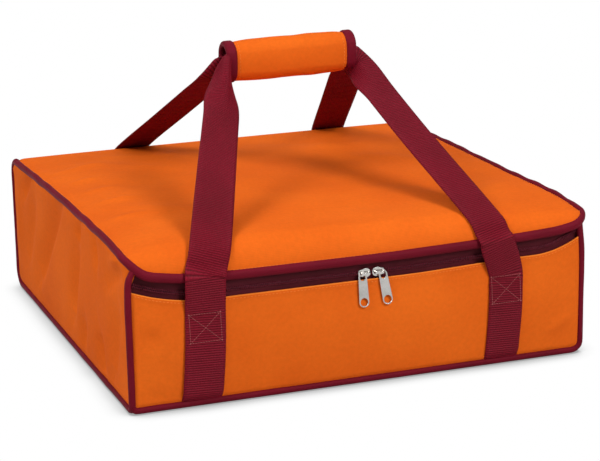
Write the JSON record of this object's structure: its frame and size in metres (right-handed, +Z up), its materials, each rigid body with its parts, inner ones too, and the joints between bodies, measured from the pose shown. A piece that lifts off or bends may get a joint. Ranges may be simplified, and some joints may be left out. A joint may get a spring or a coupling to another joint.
{
  "type": "pizza delivery bag",
  "caption": "Soft insulated box bag for boxed pizzas, with a zipped lid, piped ends, webbing handles and a padded wrap-round grip.",
  "frame": {"origin": "middle of the flat base, on the surface the bag stands on", "axes": "+X to the right along the front, +Y to the back, +Z up; the zip faces -Y"},
  "size_m": [0.4558, 0.4611, 0.2898],
  "materials": {
    "orange_cloth": "plain woven polyester, matt with a slight sheen",
    "maroon_webbing": "ribbed polypropylene webbing, matt",
    "maroon_binding": "fine woven binding, satin",
    "zip_tape": "dark woven zip tape",
    "zip_coil": "dark nylon coil",
    "nickel": "nickel plated die casting, slightly satin",
    "foam": "closed cell foam",
    "foil_lining": "metallised film lining",
    "stiff_board": "stiff base board",
    "hook_and_loop": "hook and loop tape"
  },
  "bodies": {
    "root": {"bottom_panel": "orange_cloth", "front_panel": "orange_cloth", "back_panel": "orange_cloth", "left_end_panel": "orange_cloth", "right_end_panel": "orange_cloth", "front_left_webbing": "maroon_webbing", "front_right_webbing": "maroon_webbing", "rear_left_webbing": "maroon_webbing", "rear_right_webbing": "maroon_webbing", "front_left_strap": "maroon_webbing", "front_right_strap": "maroon_webbing", "rear_left_strap": "maroon_webbing", "rear_right_strap": "maroon_webbing", "left_end_piping": "maroon_binding", "right_end_piping": "maroon_binding", "front_bottom_piping": "maroon_binding", "lower_zip_tape": "zip_tape", "lower_zip_coil": "zip_coil", "bottom_foam": "foam", "front_foam": "foam", "back_foam": "foam", "left_end_foam": "foam", "right_end_foam": "foam", "tub_floor_lining": "foil_lining", "tub_front_lining": "foil_lining", "tub_back_lining": "foil_lining", "tub_left_lining": "foil_lining", "tub_right_lining": "foil_lining", "base_board": "stiff_board"},
    "lid": {"lid_panel": "orange_cloth", "lid_foam": "foam", "lid_liner": "foil_lining", "lid_trim": "maroon_binding", "upper_zip_tape": "zip_tape", "upper_zip_coil": "zip_coil"},
    "left_slider": {"left_slider": "nickel"},
    "right_slider": {"right_slider": "nickel"},
    "left_pull": {"left_pull_tab": "nickel"},
    "right_pull": {"right_pull_tab": "nickel"},
    "grip": {"grip_front_pad": "orange_cloth", "grip_left_binding": "maroon_binding", "grip_right_binding": "maroon_binding", "grip_hook_strip": "hook_and_loop", "front_grip_webbing": "maroon_webbing", "rear_grip_webbing": "maroon_webbing"},
    "grip_flap": {"grip_flap": "orange_cloth", "flap_left_binding": "maroon_binding", "flap_right_binding": "maroon_binding", "flap_loop_strip": "hook_and_loop"}
  },
  "joints": [
    {"name": "lid_lift", "type": "hinge", "parent": "root", "child": "lid", "pos_m": [0, 0.205, 0.1448], "axis": [-1, 0, 0], "range_deg": [0, 8]},
    {"name": "left_slider_travel", "type": "slide", "parent": "root", "child": "left_slider", "axis": [-1, 0, 0], "range_m": [0, 0.18]},
    {"name": "right_slider_travel", "type": "slide", "parent": "root", "child": "right_slider", "axis": [1, 0, 0], "range_m": [0, 0.168]},
    {"name": "left_pull_swing", "type": "hinge", "parent": "left_slider", "child": "left_pull", "pos_m": [0.0001, -0.22885, 0.106], "axis": [-1, 0, 0], "range_deg": [0, 140]},
    {"name": "right_pull_swing", "type": "hinge", "parent": "right_slider", "child": "right_pull", "pos_m": [0.0139, -0.22885, 0.106], "axis": [-1, 0, 0], "range_deg": [0, 140]},
    {"name": "handle_drop", "type": "slide", "parent": "root", "child": "grip", "axis": [0, 0, 1], "range_m": [-0.09, 0], "deforming": ["front_left_strap", "front_right_strap", "rear_left_strap", "rear_right_strap"]},
    {"name": "grip_flap_open", "type": "hinge", "parent": "grip", "child": "grip_flap", "pos_m": [0.009, -0.006, 0.2898], "axis": [1, 0, 0], "range_deg": [0, 100]}
  ]
}
